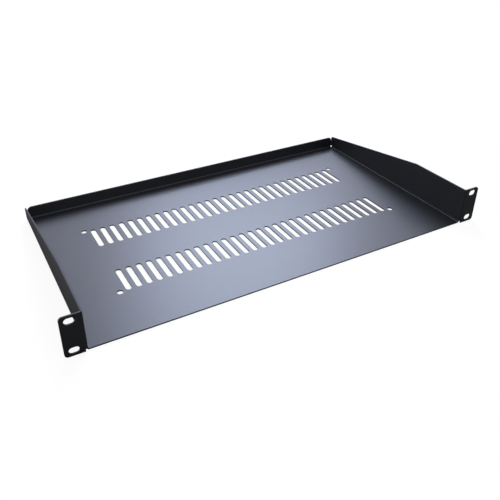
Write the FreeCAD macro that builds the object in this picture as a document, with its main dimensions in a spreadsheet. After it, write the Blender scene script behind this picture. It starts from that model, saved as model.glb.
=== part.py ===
import FreeCAD, Part
import math
import os
import Sketcher

# One-unit cantilever shelf for a 19-inch rack, folded from a single blank of sheet steel.
# Frame: X runs across the rack, Y from the ears' front face into the rack, and Z up.
# Origin: the middle of the four rack slots, on the ears' front face.
#
# The model follows the folds. A floor plate, two side walls, two ears and a rear lip are flat
# plates, each drawn in its own outline, and one quarter bend joins each plate to the next. Where
# two bends would run into each other the sheet has a small square relief, so that each can be
# folded by itself: under each ear bend, and in both rear corners of the floor.

# ------------------------------------------------------------ driving dimensions, in millimetres
SIZES = [
    ("sheet_gauge", "1.5", "thickness of the sheet"),
    ("bend_radius", "1.0", "inside radius of every bend"),
    ("rack_slot_span", "465.12", "between the slots of the left and the right ear, fixed by the rack"),
    ("rack_slot_rise", "31.75", "between the lower and the upper slot of an ear, fixed by the rack"),
    ("rack_slot_length", "9.5", "rack slot, tip to tip"),
    ("rack_slot_width", "6.5", "rack slot, across"),
    ("ear_side_margin", "8.74", "from a rack slot's middle out to the ear's side edge"),
    ("ear_end_margin", "5.875", "from a rack slot's middle to the ear's upper or lower edge"),
    ("ear_corner_radius", "3.5", "outer corners of the ears"),
    ("wall_offset", "10.56", "from the rack slots' middle in to the side wall's outer face"),
    ("tray_depth", "252.0", "from the ears' front face to the back of the rear lip"),
    ("level_run", "80.0", "from the ears' front face to where the side walls start to fall"),
    ("rear_height", "16.0", "height of the side walls and the lip at the rear"),
    ("wall_corner_radius", "3.0", "top rear corner of each side wall"),
    ("lip_corner_radius", "5.0", "top corners of the rear lip"),
    ("corner_gap", "1.1", "between each end of the rear lip and the side wall"),
    ("relief_margin", "0.2", "how far a corner relief reaches past the bends' tangent lines"),
    ("vent_length", "37.8", "vent slot, tip to tip"),
    ("vent_width", "6.0", "vent slot, across"),
    ("vent_pitch", "11.12", "from one vent slot to the next in its row"),
    ("vent_count", "30", "vent slots in a row"),
    ("row_gap", "50.7", "plain strip of floor between the two rows"),
    ("floor_hole_diameter", "6.4", "floor hole, clear of an M6 screw"),
    ("floor_hole_offset", "9.76", "from the middle of a row's last vent out to the floor hole's middle"),
]

doc = FreeCAD.newDocument("cantilever_rack_shelf")
dims = doc.addObject("Spreadsheet::Sheet", "dims")
for row, (alias, value, meaning) in enumerate(SIZES, start=1):
    dims.set("A" + str(row), meaning)
    dims.set("B" + str(row), value)
    dims.setAlias("B" + str(row), alias)
doc.recompute()

# ------------------------------------------------------------ places that follow from the sizes
# Across and in height everything is measured from the rack slots, because the rack fixes those.
HALF_WIDTH = "(dims.rack_slot_span / 2 - dims.wall_offset)"      # outer face of a side wall
EAR_SIDE = "(dims.rack_slot_span / 2 + dims.ear_side_margin)"
EAR_TOP = "(dims.rack_slot_rise / 2 + dims.ear_end_margin)"
FLOOR_UNDER = "(-" + EAR_TOP + ")"                          # flush with the ears' lower edges
FLOOR_TOP = "(" + FLOOR_UNDER + " + dims.sheet_gauge)"
REAR_TOP = "(" + FLOOR_UNDER + " + dims.rear_height)"

BEND_REACH = "(dims.bend_radius + dims.sheet_gauge)"        # outer face to tangent line
FOLD_TOP = "(" + FLOOR_UNDER + " + " + BEND_REACH + ")"     # tangent line of walls and lip
FLOOR_EDGE = "(" + HALF_WIDTH + " - " + BEND_REACH + ")"    # tangent line of the floor's sides
FLOOR_REAR = "(dims.tray_depth - " + BEND_REACH + ")"       # tangent line of the floor's rear
FLOOR_FRONT = "dims.sheet_gauge"                            # level with the ears' back faces
FLOOR_MIDDLE = "((" + FLOOR_FRONT + " + dims.tray_depth) / 2)"
RELIEF_TOP = "(" + FOLD_TOP + " + dims.relief_margin)"
EAR_INNER = "(" + HALF_WIDTH + " + dims.bend_radius)"       # tangent line of the ear
WALL_INSIDE = "(" + HALF_WIDTH + " - dims.sheet_gauge)"
LIP_END = "(" + WALL_INSIDE + " - dims.corner_gap)"

ROW_RUN = "(dims.vent_pitch * (dims.vent_count - 1))"       # first vent's middle to the last's
ROW_SPACING = "(dims.vent_length + dims.row_gap)"           # from row to row, middle to middle
HOLE_SPAN = "(" + ROW_RUN + " + 2 * dims.floor_hole_offset)"
HOLE_SPACING = "(" + ROW_SPACING + " + dims.vent_length)"   # level with the vents' outer tips

START, END, CENTRE = range(1, 4)                            # how Sketcher counts vertices


def number(expression):
    return float(dims.evalExpression(expression))


def position(x, y):
    return FreeCAD.Vector(number(x), number(y), 0)


def minus(expression):
    return "-(" + expression + ")"


# ------------------------------------------------------------ sketches bound to the sheet
body = doc.addObject("PartDesign::Body", "shelf_tray")
body.Label = "shelf_tray"


def origin_plane(role):
    return [item for item in body.Origin.OriginFeatures if item.Role == role][0]


def new_sketch(name, role, offset="0"):
    """An empty sketch on an origin plane of the body, shifted along the plane's normal."""
    sketch = body.newObject("Sketcher::SketchObject", name)
    sketch.AttachmentSupport = [(origin_plane(role), "")]
    sketch.MapMode = "FlatFace"
    sketch.setExpression("AttachmentOffset.Base.z", offset)
    return sketch


def dimension(sketch, kind, references, expression):
    """Adds a dimension that takes its value from the sheet."""
    index = sketch.addConstraint(Sketcher.Constraint(kind, *references, number(expression)))
    name = "size_" + str(index)
    sketch.renameConstraint(index, name)
    sketch.setExpression("Constraints." + name, expression)


def place(sketch, geometry, vertex, x, y):
    """Fixes a vertex at a distance from the sketch's origin, geometry -1, in both directions."""
    dimension(sketch, "DistanceX", (-1, START, geometry, vertex), x)
    dimension(sketch, "DistanceY", (-1, START, geometry, vertex), y)


def join(sketch, kind, geometry, vertex, other_geometry, other_vertex):
    sketch.addConstraint(Sketcher.Constraint(kind, geometry, vertex, other_geometry, other_vertex))


def draw_line(sketch, start, end):
    return sketch.addGeometry(Part.LineSegment(start, end), False)


def draw_arc(sketch, centre, radius, first_degree, last_degree):
    circle = Part.Circle(centre, FreeCAD.Vector(0, 0, 1), radius)
    arc = Part.ArcOfCircle(circle, math.radians(first_degree), math.radians(last_degree))
    return sketch.addGeometry(arc, False)


def draw_outline(sketch, corners):
    """A plate's outline, anticlockwise. A corner is (x, y), or (x, y, radius) if it is rounded."""
    places = [position(corner[0], corner[1]) for corner in corners]
    starts, ends, fillets = [], [], {}
    for index, corner in enumerate(corners):
        here = places[index]
        back = (places[index - 1] - here).normalize()
        onward = (places[(index + 1) % len(corners)] - here).normalize()
        setback = 0
        if len(corner) == 3:
            half_angle = back.getAngle(onward) / 2
            radius = number(corner[2])
            setback = radius / math.tan(half_angle)
            centre = here + (back + onward).normalize() * (radius / math.sin(half_angle))
            fillets[index] = (here + back * setback, centre, radius, here + onward * setback)
        ends.append(here + back * setback)
        starts.append(here + onward * setback)

    edges = [draw_line(sketch, starts[i], ends[(i + 1) % len(corners)]) for i in range(len(corners))]
    for index, corner in enumerate(corners):
        before, after = edges[index - 1], edges[index]
        if index not in fillets:
            join(sketch, "Coincident", before, END, after, START)
            place(sketch, after, START, corner[0], corner[1])
            continue
        leave, centre, radius, arrive = fillets[index]
        first = math.degrees(math.atan2(leave.y - centre.y, leave.x - centre.x))
        last = math.degrees(math.atan2(arrive.y - centre.y, arrive.x - centre.x))
        arc = draw_arc(sketch, centre, radius, first, last)
        join(sketch, "Tangent", before, END, arc, START)
        join(sketch, "Tangent", arc, END, after, START)
        dimension(sketch, "Radius", (arc,), corner[2])
        sharp = sketch.addGeometry(Part.Point(places[index]), True)
        sketch.addConstraint(Sketcher.Constraint("PointOnObject", sharp, START, before))
        sketch.addConstraint(Sketcher.Constraint("PointOnObject", sharp, START, after))
        place(sketch, sharp, START, corner[0], corner[1])


def draw_bend(sketch, x, y, first_degree):
    """Section of a bend: a quarter ring of sheet about (x, y), anticlockwise from first_degree."""
    centre = position(x, y)
    inner_radius, outer_radius = number("dims.bend_radius"), number(BEND_REACH)
    inner = draw_arc(sketch, centre, inner_radius, first_degree, first_degree + 90)
    outer = draw_arc(sketch, centre, outer_radius, first_degree, first_degree + 90)
    place(sketch, inner, CENTRE, x, y)
    join(sketch, "Coincident", inner, CENTRE, outer, CENTRE)
    dimension(sketch, "Radius", (inner,), "dims.bend_radius")
    dimension(sketch, "Radius", (outer,), BEND_REACH)
    for vertex, degree in ((START, first_degree), (END, first_degree + 90)):
        ray = FreeCAD.Vector(math.cos(math.radians(degree)), math.sin(math.radians(degree)), 0)
        edge = draw_line(sketch, centre + ray * inner_radius, centre + ray * outer_radius)
        join(sketch, "Coincident", edge, START, inner, vertex)
        join(sketch, "Coincident", edge, END, outer, vertex)
        sketch.addConstraint(Sketcher.Constraint("PointOnObject", inner, CENTRE, edge))
        direction = "Horizontal" if abs(ray.x) > abs(ray.y) else "Vertical"
        sketch.addConstraint(Sketcher.Constraint(direction, edge))


def draw_slot(sketch, x, y, length, width, upright):
    """A slot with round ends about (x, y), lying along the sketch's first or second axis."""
    radius = number(width) / 2
    reach = "(" + length + " - " + width + ") / 2"
    across = (x + " + " + reach, y) if not upright else (x, y + " + " + reach)
    behind = (x + " - " + reach, y) if not upright else (x, y + " - " + reach)
    first_degree = 0 if upright else -90
    side = FreeCAD.Vector(1, 0, 0) if upright else FreeCAD.Vector(0, -1, 0)
    far, near = position(*across), position(*behind)
    far_end = draw_arc(sketch, far, radius, first_degree, first_degree + 180)
    near_end = draw_arc(sketch, near, radius, first_degree + 180, first_degree + 360)
    one_side = draw_line(sketch, near + side * radius, far + side * radius)
    other_side = draw_line(sketch, far - side * radius, near - side * radius)
    join(sketch, "Tangent", one_side, END, far_end, START)
    join(sketch, "Tangent", far_end, END, other_side, START)
    join(sketch, "Tangent", other_side, END, near_end, START)
    join(sketch, "Tangent", near_end, END, one_side, START)
    sketch.addConstraint(Sketcher.Constraint("Equal", far_end, near_end))
    dimension(sketch, "Radius", (far_end,), width + " / 2")
    place(sketch, far_end, CENTRE, *across)
    place(sketch, near_end, CENTRE, *behind)


# ------------------------------------------------------------ features
def pad(name, sketch, length, reverse=False, symmetric=False):
    feature = body.newObject("PartDesign::Pad", name)
    feature.Profile = sketch
    feature.SideType = "Symmetric" if symmetric else "One side"
    feature.Reversed = reverse
    feature.setExpression("Length", length)
    return feature


def cut(name, sketch, depth="dims.sheet_gauge", reverse=False):
    """Cuts against the sketch plane's normal, and through the sheet unless a depth is given."""
    feature = body.newObject("PartDesign::Pocket", name)
    feature.Profile = sketch
    feature.Reversed = reverse
    feature.setExpression("Length", depth)
    return feature


def repeat(name, feature, sketch, across_run, across_count, rearward_run, rearward_count):
    """Repeats a cut along X and Y, spread evenly over a run in each direction."""
    pattern = body.newObject("PartDesign::LinearPattern", name)
    pattern.Originals = [feature]
    pattern.Direction = (sketch, ["H_Axis"])
    pattern.setExpression("Length", across_run)
    pattern.setExpression("Occurrences", across_count)
    pattern.Direction2 = (sketch, ["V_Axis"])
    pattern.setExpression("Length2", rearward_run)
    pattern.setExpression("Occurrences2", rearward_count)
    body.Tip = pattern
    return pattern


# Floor: the flat between the two side bends and the rear bend. Its front edge is left open.
floor_outline = new_sketch("floor_outline", "XY_Plane", FLOOR_UNDER)
draw_outline(floor_outline, [
    (minus(FLOOR_EDGE), FLOOR_FRONT),
    (FLOOR_EDGE, FLOOR_FRONT),
    (FLOOR_EDGE, FLOOR_REAR),
    (minus(FLOOR_EDGE), FLOOR_REAR),
])
pad("floor", floor_outline, "dims.sheet_gauge")

# Right side bend, from the floor's open front edge to the relief at the rear corner.
side_bend_section = new_sketch("side_bend_section", "XZ_Plane", minus(FLOOR_FRONT))
draw_bend(side_bend_section, FLOOR_EDGE, FOLD_TOP, 270)
side_bend = pad("side_bend", side_bend_section, FLOOR_REAR + " - " + FLOOR_FRONT, reverse=True)

# Right side wall: level behind the ear, then falling straight to the height of the rear lip.
side_wall_outline = new_sketch("side_wall_outline", "YZ_Plane", WALL_INSIDE)
draw_outline(side_wall_outline, [
    (BEND_REACH, FOLD_TOP),
    ("dims.tray_depth", FOLD_TOP),
    ("dims.tray_depth", REAR_TOP, "dims.wall_corner_radius"),
    ("dims.level_run", EAR_TOP),
    (BEND_REACH, EAR_TOP),
])
side_wall = pad("side_wall", side_wall_outline, "dims.sheet_gauge")

# Right ear bend: turns the wall's front edge outwards, above a relief over the side bend.
ear_bend_section = new_sketch("ear_bend_section", "XY_Plane", RELIEF_TOP)
draw_bend(ear_bend_section, EAR_INNER, BEND_REACH, 180)
ear_bend = pad("ear_bend", ear_bend_section, EAR_TOP + " - " + RELIEF_TOP)

# Right ear, on the front plane, with two slots at the rack's standard spacing.
ear_outline = new_sketch("ear_outline", "XZ_Plane")
draw_outline(ear_outline, [
    (EAR_INNER, FLOOR_UNDER),
    (EAR_SIDE, FLOOR_UNDER, "dims.ear_corner_radius"),
    (EAR_SIDE, EAR_TOP, "dims.ear_corner_radius"),
    (EAR_INNER, EAR_TOP),
])
ear = pad("ear", ear_outline, "dims.sheet_gauge", reverse=True)

rack_slot_outlines = new_sketch("rack_slot_outlines", "XZ_Plane")
for slot_height in ("-dims.rack_slot_rise / 2", "dims.rack_slot_rise / 2"):
    draw_slot(rack_slot_outlines, "dims.rack_slot_span / 2", slot_height,
              "dims.rack_slot_length", "dims.rack_slot_width", upright=False)
rack_slots = cut("rack_slots", rack_slot_outlines)

# Rear lip: a bend as wide as the floor, and an upright plate that just clears both walls.
rear_bend_section = new_sketch("rear_bend_section", "YZ_Plane")
draw_bend(rear_bend_section, FLOOR_REAR, FOLD_TOP, 270)
pad("rear_bend", rear_bend_section, "2 * " + FLOOR_EDGE, symmetric=True)

rear_lip_outline = new_sketch("rear_lip_outline", "XZ_Plane", "-dims.tray_depth")
draw_outline(rear_lip_outline, [
    (minus(LIP_END), FOLD_TOP),
    (LIP_END, FOLD_TOP),
    (LIP_END, REAR_TOP, "dims.lip_corner_radius"),
    (minus(LIP_END), REAR_TOP, "dims.lip_corner_radius"),
])
pad("rear_lip", rear_lip_outline, "dims.sheet_gauge")

# Right rear relief: the corner of the floor, cut away with the ends of both bends.
rear_relief_outline = new_sketch("rear_relief_outline", "XY_Plane", FLOOR_UNDER)
relief_x = FLOOR_EDGE + " - dims.relief_margin"
relief_y = FLOOR_REAR + " - dims.relief_margin"
draw_outline(rear_relief_outline, [
    (relief_x, relief_y),
    (HALF_WIDTH, relief_y),
    (HALF_WIDTH, "dims.tray_depth"),
    (relief_x, "dims.tray_depth"),
])
rear_relief = cut("rear_relief", rear_relief_outline, RELIEF_TOP + " - " + FLOOR_UNDER, reverse=True)

# Left side: the same bend, wall, ear and relief, mirrored in the shelf's middle plane.
left_side = body.newObject("PartDesign::Mirrored", "left_side")
left_side.Originals = [side_bend, side_wall, ear_bend, ear, rack_slots, rear_relief]
left_side.MirrorPlane = (origin_plane("YZ_Plane"), [""])
body.Tip = left_side

# Vents: two rows of long slots, centred on the floor.
vent_outline = new_sketch("vent_outline", "XY_Plane", FLOOR_TOP)
draw_slot(vent_outline, minus(ROW_RUN + " / 2"), FLOOR_MIDDLE + " - " + ROW_SPACING + " / 2",
          "dims.vent_length", "dims.vent_width", upright=True)
vent = cut("vent", vent_outline)
repeat("vent_rows", vent, vent_outline, ROW_RUN, "dims.vent_count", ROW_SPACING, "2")

# Floor holes: one outside each end of each row, level with the vents' outer tips.
floor_hole_outline = new_sketch("floor_hole_outline", "XY_Plane", FLOOR_TOP)
hole_x = minus(HOLE_SPAN + " / 2")
hole_y = FLOOR_MIDDLE + " - " + HOLE_SPACING + " / 2"
hole_circle = Part.Circle(position(hole_x, hole_y), FreeCAD.Vector(0, 0, 1),
                          number("dims.floor_hole_diameter / 2"))
hole = floor_hole_outline.addGeometry(hole_circle, False)
dimension(floor_hole_outline, "Diameter", (hole,), "dims.floor_hole_diameter")
place(floor_hole_outline, hole, CENTRE, hole_x, hole_y)
floor_hole = cut("floor_hole", floor_hole_outline)
repeat("floor_holes", floor_hole, floor_hole_outline, HOLE_SPAN, "2", HOLE_SPACING, "2")

body.Placement = FreeCAD.Placement(FreeCAD.Vector(0, 0, 0), FreeCAD.Rotation())
doc.recompute()


# ------------------------------------------------------------ checks, then the STEP file
def check_document():
    for item in doc.Objects:
        if "Invalid" in item.State or "Error" in item.State:
            raise RuntimeError(item.Name + " failed: " + str(item.State))
        if item.isDerivedFrom("PartDesign::Pocket") or item.Name in ("vent_rows", "floor_holes"):
            if item.Shape.Volume >= item.BaseFeature.Shape.Volume:
                raise RuntimeError(item.Name + " cuts nothing")
        if item.isDerivedFrom("Sketcher::SketchObject") and item.solve() != 0:
            raise RuntimeError(item.Name + " has constraints that clash")
    if body.Shape.isNull() or not body.Shape.isValid() or len(body.Shape.Solids) != 1:
        raise RuntimeError("the shelf is not one valid solid")


check_document()
os.makedirs("parts", exist_ok=True)
body.Shape.exportStep("parts/" + body.Label + ".step")

box = body.Shape.BoundBox
print("shelf_tray", round(box.XLength, 2), "x", round(box.YLength, 2), "x", round(box.ZLength, 2),
      "mm, volume", round(body.Shape.Volume / 1000, 2), "cm3, faces", len(body.Shape.Faces))
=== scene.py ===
import math

import bpy
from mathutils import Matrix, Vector


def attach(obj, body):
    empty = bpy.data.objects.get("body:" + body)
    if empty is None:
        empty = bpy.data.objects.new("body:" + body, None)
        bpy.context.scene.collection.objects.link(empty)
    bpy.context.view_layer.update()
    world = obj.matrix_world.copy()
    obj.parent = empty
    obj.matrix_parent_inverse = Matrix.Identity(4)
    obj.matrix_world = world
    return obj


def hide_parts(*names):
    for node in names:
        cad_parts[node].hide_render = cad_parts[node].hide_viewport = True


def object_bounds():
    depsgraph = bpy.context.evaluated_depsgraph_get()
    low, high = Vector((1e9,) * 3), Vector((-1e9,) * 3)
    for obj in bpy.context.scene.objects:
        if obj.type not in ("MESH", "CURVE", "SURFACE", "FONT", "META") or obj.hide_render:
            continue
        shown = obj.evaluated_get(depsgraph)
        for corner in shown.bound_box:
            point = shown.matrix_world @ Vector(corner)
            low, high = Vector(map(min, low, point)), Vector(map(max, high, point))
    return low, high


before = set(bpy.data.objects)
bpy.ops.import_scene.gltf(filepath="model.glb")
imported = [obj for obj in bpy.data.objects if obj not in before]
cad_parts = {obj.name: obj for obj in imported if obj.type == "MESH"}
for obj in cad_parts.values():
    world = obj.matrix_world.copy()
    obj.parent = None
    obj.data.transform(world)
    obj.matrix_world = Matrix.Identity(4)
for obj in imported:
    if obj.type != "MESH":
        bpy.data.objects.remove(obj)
cad_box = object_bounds()

# ------------------------------------------------------------ folded shelf
# One blank of 1.5 mm sheet steel: vents, slots and outline are laser cut, then the side walls and
# the rear lip are folded up and the ears outwards. It is powder coated in one piece, and the coat
# wraps every cut edge in a small soft radius.
MM = 0.001
EDGE_RADIUS = 0.12 * MM
SHORTEST_ROUNDED = 3 * EDGE_RADIUS      # a shorter step, as in the corner reliefs, stays crisp
SHARP_FOLD = math.radians(60)           # the facets of a bend meet at far less
FLAT_FOLD = math.radians(0.5)           # facets that meet at less lie in one flat face
LARGEST_RIM = 0.01                      # square metres; either side of the sheet has over 0.1
WELD_DISTANCE = 0.01 * MM

COAT_BLACK = "#131314"
COAT_IOR = 1.6                          # baked polyester resin
SATIN_ROUGHNESS = 0.37
RIM_ROUGHNESS = 0.60
PEEL_WAVE = 2.2 * MM                    # the coat's slow waves, as on the skin of an orange
PEEL_HEIGHT = 0.05 * MM
POWDER_GRAIN = 0.4 * MM                 # what is left of the powder's grains after baking
POWDER_HEIGHT = 0.01 * MM


def linear(hex_colour):
    """sRGB hex to the linear colour that a socket takes."""
    channels = [int(hex_colour[i:i + 2], 16) / 255 for i in (1, 3, 5)]
    return [c / 12.92 if c <= 0.04045 else ((c + 0.055) / 1.055) ** 2.4 for c in channels] + [1.0]


def add_node(tree, kind, settings=None, inputs=(), **named):
    """Adds a node. A value or a socket to take from goes to each input, in order or by name."""
    node = tree.nodes.new(kind)
    for attribute, value in (settings or {}).items():
        setattr(node, attribute, value)
    filled = list(zip(node.inputs, inputs))
    filled += [(node.inputs[name.replace("_", " ")], value) for name, value in named.items()]
    for socket, value in filled:
        if isinstance(value, bpy.types.NodeSocket):
            tree.links.new(value, socket)
        else:
            socket.default_value = value
    return node


def coat_material():
    """Satin black polyester powder coat, sprayed on dry and baked.

    It melts into a smooth skin with a faint orange peel and a finer grain, which soften the light
    that lies on it. Over the rough cut of the laser it is duller than on the rolled faces, so the
    rims hold back the light.
    """
    coat = bpy.data.materials.new("black_satin_powder_coat")
    coat.use_nodes = True
    tree = coat.node_tree
    tree.nodes.clear()
    place = add_node(tree, "ShaderNodeTexCoord")
    peel = add_node(tree, "ShaderNodeTexNoise", Vector=place.outputs["Object"],
                    Scale=1 / PEEL_WAVE, Detail=2.0, Roughness=0.5)
    waves = add_node(tree, "ShaderNodeBump", Height=peel.outputs["Fac"],
                     Strength=1.0, Distance=PEEL_HEIGHT)
    powder = add_node(tree, "ShaderNodeTexNoise", Vector=place.outputs["Object"],
                      Scale=1 / POWDER_GRAIN, Detail=1.0, Roughness=0.5)
    grain = add_node(tree, "ShaderNodeBump", Height=powder.outputs["Fac"],
                     Strength=1.0, Distance=POWDER_HEIGHT, Normal=waves.outputs["Normal"])
    rim = add_node(tree, "ShaderNodeAttribute", {"attribute_name": "laser_cut"})
    roughness = add_node(tree, "ShaderNodeMapRange", Value=rim.outputs["Fac"],
                         To_Min=SATIN_ROUGHNESS, To_Max=RIM_ROUGHNESS)
    surface = add_node(tree, "ShaderNodeBsdfPrincipled", Base_Color=linear(COAT_BLACK), IOR=COAT_IOR,
                       Roughness=roughness.outputs["Result"], Normal=grain.outputs["Normal"])
    add_node(tree, "ShaderNodeOutputMaterial", Surface=surface.outputs["BSDF"])
    return coat


def cut_rims():
    """Geometry Nodes that find the laser's cuts in the folded sheet.

    The rims of the vents, slots and holes and the sheet's own outline are islands between sharp
    edges, each far smaller than either side of the sheet. Their faces are marked for the coat, and
    their edges are weighted for rounding, apart from steps too short to take the radius.
    """
    tree = bpy.data.node_groups.new("cut_rims", "GeometryNodeTree")
    for name, kind in (("Geometry", "Geometry"), ("Sharp Fold", "Float"), ("Largest Rim", "Float"),
                       ("Shortest Rounded", "Float"), ("Weld Distance", "Float"),
                       ("Coat", "Material")):
        tree.interface.new_socket(name, in_out="INPUT", socket_type="NodeSocket" + kind)
    tree.interface.new_socket("Geometry", in_out="OUTPUT", socket_type="NodeSocketGeometry")
    given = add_node(tree, "NodeGroupInput").outputs

    fold = add_node(tree, "GeometryNodeInputMeshEdgeAngle")
    sharp = add_node(tree, "FunctionNodeCompare", {"operation": "GREATER_THAN"},
                     A=fold.outputs["Unsigned Angle"], B=given["Sharp Fold"]).outputs[0]
    ends = add_node(tree, "GeometryNodeInputMeshEdgeVertices").outputs
    length = add_node(tree, "ShaderNodeVectorMath", {"operation": "DISTANCE"},
                      (ends["Position 1"], ends["Position 2"]))
    short = add_node(tree, "FunctionNodeCompare", {"operation": "LESS_THAN"},
                     A=length.outputs["Value"], B=given["Shortest Rounded"]).outputs[0]
    step = add_node(tree, "FunctionNodeBooleanMath", {"operation": "AND"}, (sharp, short)).outputs[0]
    beside_step = step
    for domain in ("EDGE", "POINT"):
        beside_step = add_node(tree, "GeometryNodeFieldOnDomain", {"domain": domain},
                               (beside_step,)).outputs[0]
    rounded = add_node(tree, "FunctionNodeBooleanMath", {"operation": "NIMPLY"}, (sharp, beside_step))
    crisp = add_node(tree, "FunctionNodeBooleanMath", {"operation": "AND"}, (sharp, beside_step))

    mesh = given["Geometry"]
    for name, kind, value in (("bevel_weight_edge", "FLOAT", rounded), ("sharp_edge", "BOOLEAN", crisp)):
        mesh = add_node(tree, "GeometryNodeStoreNamedAttribute", {"data_type": kind, "domain": "EDGE"},
                        Geometry=mesh, Name=name, Value=value.outputs[0]).outputs[0]
    mesh = add_node(tree, "GeometryNodeSplitEdges", Mesh=mesh, Selection=sharp).outputs[0]
    island = add_node(tree, "GeometryNodeInputMeshIsland")
    area = add_node(tree, "GeometryNodeInputMeshFaceArea")
    island_area = add_node(tree, "GeometryNodeAccumulateField", {"domain": "FACE"},
                           Value=area.outputs["Area"], Group_ID=island.outputs["Island Index"])
    rim = add_node(tree, "FunctionNodeCompare", {"operation": "LESS_THAN"},
                   A=island_area.outputs["Total"], B=given["Largest Rim"])
    mesh = add_node(tree, "GeometryNodeStoreNamedAttribute", {"data_type": "FLOAT", "domain": "FACE"},
                    Geometry=mesh, Name="laser_cut", Value=rim.outputs[0]).outputs[0]
    mesh = add_node(tree, "GeometryNodeMergeByDistance", Geometry=mesh,
                    Distance=given["Weld Distance"]).outputs[0]
    mesh = add_node(tree, "GeometryNodeRealizeInstances", Geometry=mesh).outputs[0]
    mesh = add_node(tree, "GeometryNodeSetMaterial", Geometry=mesh, Material=given["Coat"]).outputs[0]
    add_node(tree, "NodeGroupOutput", Geometry=mesh)
    return tree


def add_modifier(piece, name, kind, **settings):
    """Adds a modifier to the end of the piece's stack, with its settings."""
    modifier = piece.modifiers.new(name, kind)
    for setting, value in settings.items():
        setattr(modifier, setting, value)
    return modifier


def finished_mesh(piece):
    """Applies the piece's modifiers, and leaves it with a plain mesh."""
    bpy.context.view_layer.update()
    evaluated = piece.evaluated_get(bpy.context.evaluated_depsgraph_get())
    mesh = bpy.data.meshes.new_from_object(evaluated)
    piece.modifiers.clear()
    piece.data = mesh


shelf = bpy.data.objects.new("folded_shelf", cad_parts["shelf_tray"].data.copy())
bpy.context.scene.collection.objects.link(shelf)
shelf.data.materials.clear()
shelf.data.shade_smooth()
add_modifier(shelf, "joined facets", "WELD", merge_threshold=WELD_DISTANCE)
add_modifier(shelf, "flat faces", "DECIMATE", decimate_type="DISSOLVE", angle_limit=FLAT_FOLD)
rims = add_modifier(shelf, "cut rims", "NODES", node_group=cut_rims())
for socket, value in (("Sharp Fold", SHARP_FOLD), ("Largest Rim", LARGEST_RIM),
                      ("Shortest Rounded", SHORTEST_ROUNDED), ("Weld Distance", WELD_DISTANCE),
                      ("Coat", coat_material())):
    rims[rims.node_group.interface.items_tree[socket].identifier] = value
add_modifier(shelf, "soft edges", "BEVEL", limit_method="WEIGHT", width=EDGE_RADIUS, segments=2,
             use_clamp_overlap=False, loop_slide=False)
add_modifier(shelf, "flat shading", "WEIGHTED_NORMAL", mode="FACE_AREA", weight=100, keep_sharp=True)
finished_mesh(shelf)

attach(shelf, "root")
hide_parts("shelf_tray")

# ------------------------------------------------------------ floor and background
# A plain white studio floor runs out of sight under a white backdrop. To the eye it is white, with
# a pale shadow beside the shelf. The upright faces of satin black steel show the dim side of a
# studio, so light that bounces meets the floor as plain grey.
FLOOR_LEVEL = cad_box[0].z - 0.2 * MM   # just clear of the shelf's underside
FLOOR_REACH = 6.0
FLOOR_GREY = "#585858"                  # for light that bounces
PAPER_TONE = "#5e5d5a"                  # takes the shadow
PAPER_GLOW = 0.885                      # comes to white with the studio light on the paper
ROOM_LIGHT = 0.70
WALL_COLOUR = "#e0e7ff"
WALL_BRIGHTNESS = 0.88


def seen_directly(tree):
    """1 where the eye sees a surface by itself or through glass, 0 for light that bounces."""
    rays = add_node(tree, "ShaderNodeLightPath").outputs
    return add_node(tree, "ShaderNodeMath", {"operation": "MAXIMUM"},
                    (rays["Is Camera Ray"], rays["Is Transmission Ray"])).outputs[0]


bpy.ops.mesh.primitive_plane_add(size=2 * FLOOR_REACH, location=(0, 0, FLOOR_LEVEL))
floor = bpy.context.object
floor.name = "studio_floor"
paper = bpy.data.materials.new("white_paper_floor")
paper.use_nodes = True
tree = paper.node_tree
tree.nodes.clear()
grey = add_node(tree, "ShaderNodeBsdfDiffuse", Color=linear(FLOOR_GREY))
shaded = add_node(tree, "ShaderNodeBsdfDiffuse", Color=linear(PAPER_TONE))
glow = add_node(tree, "ShaderNodeEmission", Strength=PAPER_GLOW)
white = add_node(tree, "ShaderNodeAddShader", inputs=(shaded.outputs[0], glow.outputs[0]))
shown = add_node(tree, "ShaderNodeMixShader",
                 inputs=(seen_directly(tree), grey.outputs[0], white.outputs[0]))
add_node(tree, "ShaderNodeOutputMaterial", Surface=shown.outputs[0])
floor.data.materials.append(paper)

# The room gives plain soft light, and gloss shows it as a pale cool wall.
world = bpy.data.worlds.new("studio")
bpy.context.scene.world = world
world.use_nodes = True
tree = world.node_tree
tree.nodes.clear()
rays = add_node(tree, "ShaderNodeLightPath").outputs
plain = add_node(tree, "ShaderNodeBackground", Color=linear("#ffffff"), Strength=ROOM_LIGHT)
wall = add_node(tree, "ShaderNodeBackground", Color=linear(WALL_COLOUR), Strength=WALL_BRIGHTNESS)
room = add_node(tree, "ShaderNodeMixShader",
                inputs=(rays["Is Glossy Ray"], plain.outputs[0], wall.outputs[0]))
backdrop = add_node(tree, "ShaderNodeBackground", Color=linear("#ffffff"), Strength=1.0)
shown = add_node(tree, "ShaderNodeMixShader",
                 inputs=(seen_directly(tree), room.outputs[0], backdrop.outputs[0]))
add_node(tree, "ShaderNodeOutputWorld", Surface=shown.outputs[0])

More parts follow.
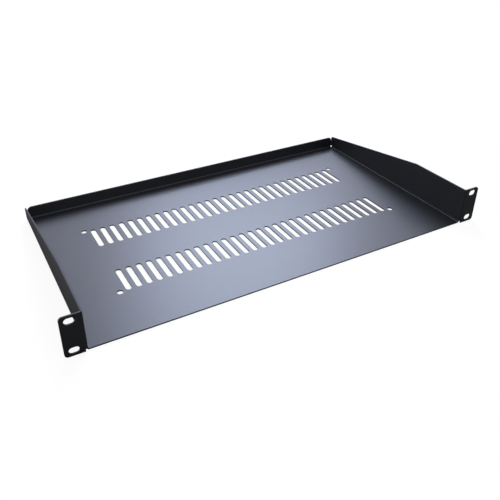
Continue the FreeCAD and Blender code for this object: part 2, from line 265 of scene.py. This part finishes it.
# ------------------------------------------------------------ studio light
# A soft box and a wide panel stand behind the shelf, opposite the camera, and their glow lies on
# its floor. A card in front lifts the lip and its bend, and one on the left lifts both side walls.
# A small card, no higher than the lip, lights the outside of the left wall.
CENTRE = Vector((0, 0.125, -0.01))      # a little above the middle of the shelf's floor


def soft_box(name, azimuth, elevation, distance, width, height, power, colour):
    """An area light aimed at the shelf; azimuth is measured from +Y towards +X, in degrees."""
    turn, lift = math.radians(azimuth), math.radians(elevation)
    way = Vector((math.sin(turn) * math.cos(lift), math.cos(turn) * math.cos(lift), math.sin(lift)))
    lamp = bpy.data.lights.new(name, "AREA")
    lamp.shape = "RECTANGLE"
    lamp.size, lamp.size_y = width, height
    lamp.energy = power
    lamp.color = linear(colour)[:3]
    box = bpy.data.objects.new(name, lamp)
    box.location = CENTRE + way * distance
    box.rotation_euler = way.to_track_quat("Z", "Y").to_euler()
    box.visible_camera = False
    bpy.context.scene.collection.objects.link(box)


soft_box("rear_soft_box", azimuth=28.5, elevation=43.0, distance=1.6,
         width=0.78, height=0.85, power=18.3, colour="#d6e3ff")
soft_box("rear_panel", azimuth=28.5, elevation=36.0, distance=2.0,
         width=4.0, height=1.0, power=15.5, colour="#e8e8ff")
soft_box("front_card", azimuth=165.0, elevation=36.0, distance=1.6,
         width=0.9, height=0.3, power=1.6, colour="#f4f6ff")
soft_box("left_card", azimuth=-82.0, elevation=15.0, distance=1.2,
         width=0.6, height=0.3, power=5.3, colour="#e2e8ff")
soft_box("low_left_card", azimuth=-71.5, elevation=-0.38, distance=0.58,
         width=0.12, height=0.014, power=0.53, colour="#fff9e6")

# ------------------------------------------------------------ camera
# Looks down on the shelf from the front left, near enough to show its perspective. The shift sets
# the shelf in the middle of the frame.
camera_data = bpy.data.cameras.new("camera")
camera_data.lens = 42.51
camera_data.sensor_width = 36
camera_data.shift_x = 0.0192
camera_data.shift_y = -0.0778
camera = bpy.data.objects.new("camera", camera_data)
camera.location = (-0.28973, -0.39595, 0.33752)
camera.rotation_euler = (math.radians(59.945), math.radians(-0.076), math.radians(-28.77))
bpy.context.scene.collection.objects.link(camera)
bpy.context.scene.camera = camera

bpy.context.scene.view_settings.view_transform = "Standard"
